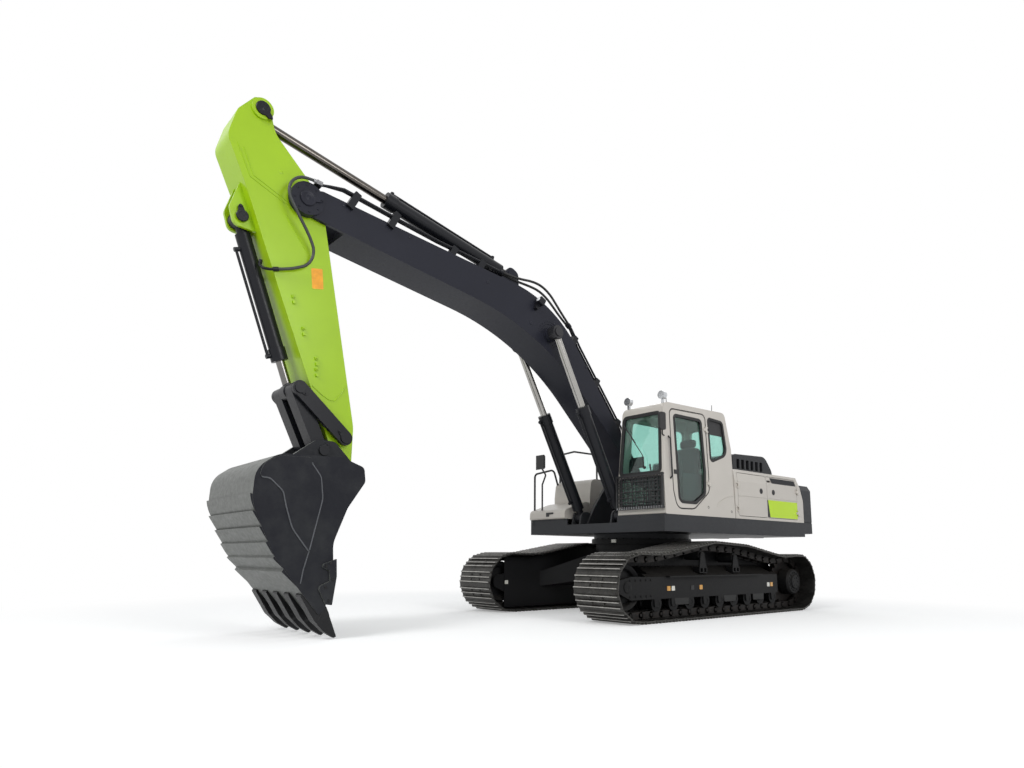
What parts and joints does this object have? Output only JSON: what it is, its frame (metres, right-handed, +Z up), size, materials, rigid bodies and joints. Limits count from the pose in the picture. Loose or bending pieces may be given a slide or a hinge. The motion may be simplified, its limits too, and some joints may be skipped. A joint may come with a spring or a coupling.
{
  "type": "crawler excavator",
  "caption": "Tracked hydraulic excavator with a revolving upper structure, cab, boom, arm and a digging bucket.",
  "frame": {"origin": "on the ground below the middle of the machine's length, on its middle plane", "axes": "+X forward towards the bucket, +Y to the machine's left where the cab is, +Z up"},
  "size_m": [10.5431, 3.45, 6.0365],
  "materials": {
    "lime_paint": "gloss lime green paint",
    "slate_paint": "dark slate paint, slightly worn",
    "grey_paint": "light warm grey paint",
    "dark_paint": "dark grey paint",
    "undercarriage_paint": "near-black paint, dusty",
    "track_steel": "worn bare steel shoes",
    "bucket_steel": "worn steel",
    "chrome_rod": "polished piston rod",
    "cab_glass": "teal tinted glass",
    "black_plastic": "black",
    "seat_fabric": "dark woven cover",
    "hose_rubber": "black hydraulic hose"
  },
  "bodies": {
    "undercarriage": {"track_left": "track_steel", "track_right": "track_steel", "track_frame_left": "undercarriage_paint", "track_frame_right": "undercarriage_paint", "idlers": "undercarriage_paint", "sprockets": "track_steel", "final_drives": "undercarriage_paint", "track_rollers": "undercarriage_paint", "carrier_rollers": "undercarriage_paint", "carbody": "undercarriage_paint", "slew_ring": "undercarriage_paint"},
    "upper": {"main_frame": "dark_paint", "counterweight": "dark_paint", "engine_block": "undercarriage_paint", "radiator": "undercarriage_paint", "left_housing": "grey_paint", "right_housing": "grey_paint", "top_cover": "dark_paint", "fuel_tank": "grey_paint", "tool_box": "grey_paint", "cab_shell": "grey_paint", "cab_glazing": "cab_glass", "operator_seat": "seat_fabric", "consoles": "black_plastic", "front_guard": "black_plastic", "work_lamps": "chrome_rod", "mirrors": "black_plastic", "handrails": "black_plastic"},
    "cab_door": {"cab_door": "grey_paint", "door_glass": "cab_glass"},
    "engine_hood": {"engine_hood": "dark_paint"},
    "left_front_door": {"left_front_door": "grey_paint"},
    "left_rear_door": {"left_rear_door": "grey_paint"},
    "right_service_door": {"right_service_door": "grey_paint"},
    "boom": {"boom": "slate_paint", "boom_pipes": "dark_paint", "boom_hoses": "hose_rubber", "boom_lamp": "grey_paint"},
    "arm": {"arm": "lime_paint", "arm_pipes": "dark_paint", "arm_hoses": "hose_rubber"},
    "bucket": {"bucket": "bucket_steel", "bucket_teeth": "bucket_steel"},
    "idler_links": {"idler_links": "slate_paint"},
    "bucket_link": {"bucket_link": "slate_paint"},
    "boom_cylinder_barrels": {"boom_cylinder_barrels": "slate_paint"},
    "boom_cylinder_rods": {"boom_cylinder_rods": "chrome_rod"},
    "arm_cylinder_barrel": {"arm_cylinder_barrel": "slate_paint"},
    "arm_cylinder_rod": {"arm_cylinder_rod": "chrome_rod"},
    "bucket_cylinder_barrel": {"bucket_cylinder_barrel": "slate_paint"},
    "bucket_cylinder_rod": {"bucket_cylinder_rod": "chrome_rod"}
  },
  "joints": [
    {"name": "slew", "type": "hinge", "parent": "undercarriage", "child": "upper", "pos_m": [-1.82172, 0, 1.16], "axis": [0, 0, 1], "continuous": true},
    {"name": "boom_lift", "type": "hinge", "parent": "upper", "child": "boom", "pos_m": [-1.50172, 0, 2.05], "axis": [0, -1, 0], "range_deg": [-60, 30]},
    {"name": "arm_draw", "type": "hinge", "parent": "boom", "child": "arm", "pos_m": [4.378, 0, 4.98152], "axis": [0, 1, 0], "range_deg": [-90, 12]},
    {"name": "bucket_curl", "type": "hinge", "parent": "arm", "child": "bucket", "pos_m": [3.77718, 0, 1.80178], "axis": [0, 1, 0], "range_deg": [-6, 155]},
    {"name": "cab_door_swing", "type": "hinge", "parent": "upper", "child": "cab_door", "pos_m": [-1.74572, 1.4475, 2.4], "axis": [0, 0.0357, -0.9994], "range_deg": [-165, 0]},
    {"name": "hood_lift", "type": "hinge", "parent": "upper", "child": "engine_hood", "pos_m": [-3.20772, 0, 2.33], "axis": [0, 1, 0], "range_deg": [0, 60]},
    {"name": "left_front_door_swing", "type": "hinge", "parent": "upper", "child": "left_front_door", "pos_m": [-2.51172, 1.48, 1.88], "axis": [0, 0, -1], "range_deg": [0, 90]},
    {"name": "left_rear_door_swing", "type": "hinge", "parent": "upper", "child": "left_rear_door", "pos_m": [-4.38172, 1.48, 1.88], "axis": [0, 0, 1], "range_deg": [0, 90]},
    {"name": "right_door_swing", "type": "hinge", "parent": "upper", "child": "right_service_door", "pos_m": [-4.34172, -1.48, 1.88], "axis": [0, 0, -1], "range_deg": [0, 90]},
    {"name": "boom_barrel_swing", "type": "hinge", "parent": "upper", "child": "boom_cylinder_barrels", "pos_m": [-0.84172, 0, 1.5], "axis": [0, -1, 0], "range_deg": [-61.82, 31.41]},
    {"name": "boom_rod_slide", "type": "slide", "parent": "boom_cylinder_barrels", "child": "boom_cylinder_rods", "axis": [0.4611, 0, 0.8874], "range_m": [-0.8123, 0.4081]},
    {"name": "arm_barrel_swing", "type": "hinge", "parent": "boom", "child": "arm_cylinder_barrel", "pos_m": [1.12771, 0, 5.03038], "axis": [0, 1, 0], "range_deg": [-4.95, 1.53]},
    {"name": "arm_rod_slide", "type": "slide", "parent": "arm_cylinder_barrel", "child": "arm_cylinder_rod", "axis": [0.9742, 0, 0.2259], "range_m": [-1.5302, 0.2075]},
    {"name": "bucket_barrel_swing", "type": "hinge", "parent": "arm", "child": "bucket_cylinder_barrel", "pos_m": [5.03399, 0, 4.61841], "axis": [0, 1, 0], "range_deg": [-10.74, 1.38]},
    {"name": "bucket_rod_slide", "type": "slide", "parent": "bucket_cylinder_barrel", "child": "bucket_cylinder_rod", "axis": [-0.3465, 0, -0.9381], "range_m": [-0.0396, 0.9236]},
    {"name": "idler_link_swing", "type": "hinge", "parent": "arm", "child": "idler_links", "pos_m": [3.76719, 0, 2.22179], "axis": [0, 1, 0], "range_deg": [-4.23, 84.38]},
    {"name": "bucket_link_swing", "type": "hinge", "parent": "bucket", "child": "bucket_link", "pos_m": [4.02719, 0, 2.05179], "axis": [0, 1, 0], "range_deg": [-117.49, 5.51]}
  ],
  "couplings": [
    {"joint": "boom_barrel_swing", "follows": "boom_lift", "ratio": 1.0137},
    {"joint": "boom_rod_slide", "follows": "boom_lift", "m_per_rad": 0.77183},
    {"joint": "arm_barrel_swing", "follows": "arm_draw", "ratio": 0.043839},
    {"joint": "arm_rod_slide", "follows": "arm_draw", "m_per_rad": 0.97162},
    {"joint": "bucket_barrel_swing", "follows": "bucket_curl", "ratio": -0.06287},
    {"joint": "bucket_rod_slide", "follows": "bucket_curl", "m_per_rad": 0.33995},
    {"joint": "idler_link_swing", "follows": "bucket_curl", "ratio": 0.53793},
    {"joint": "bucket_link_swing", "follows": "bucket_curl", "ratio": -0.75154}
  ]
}
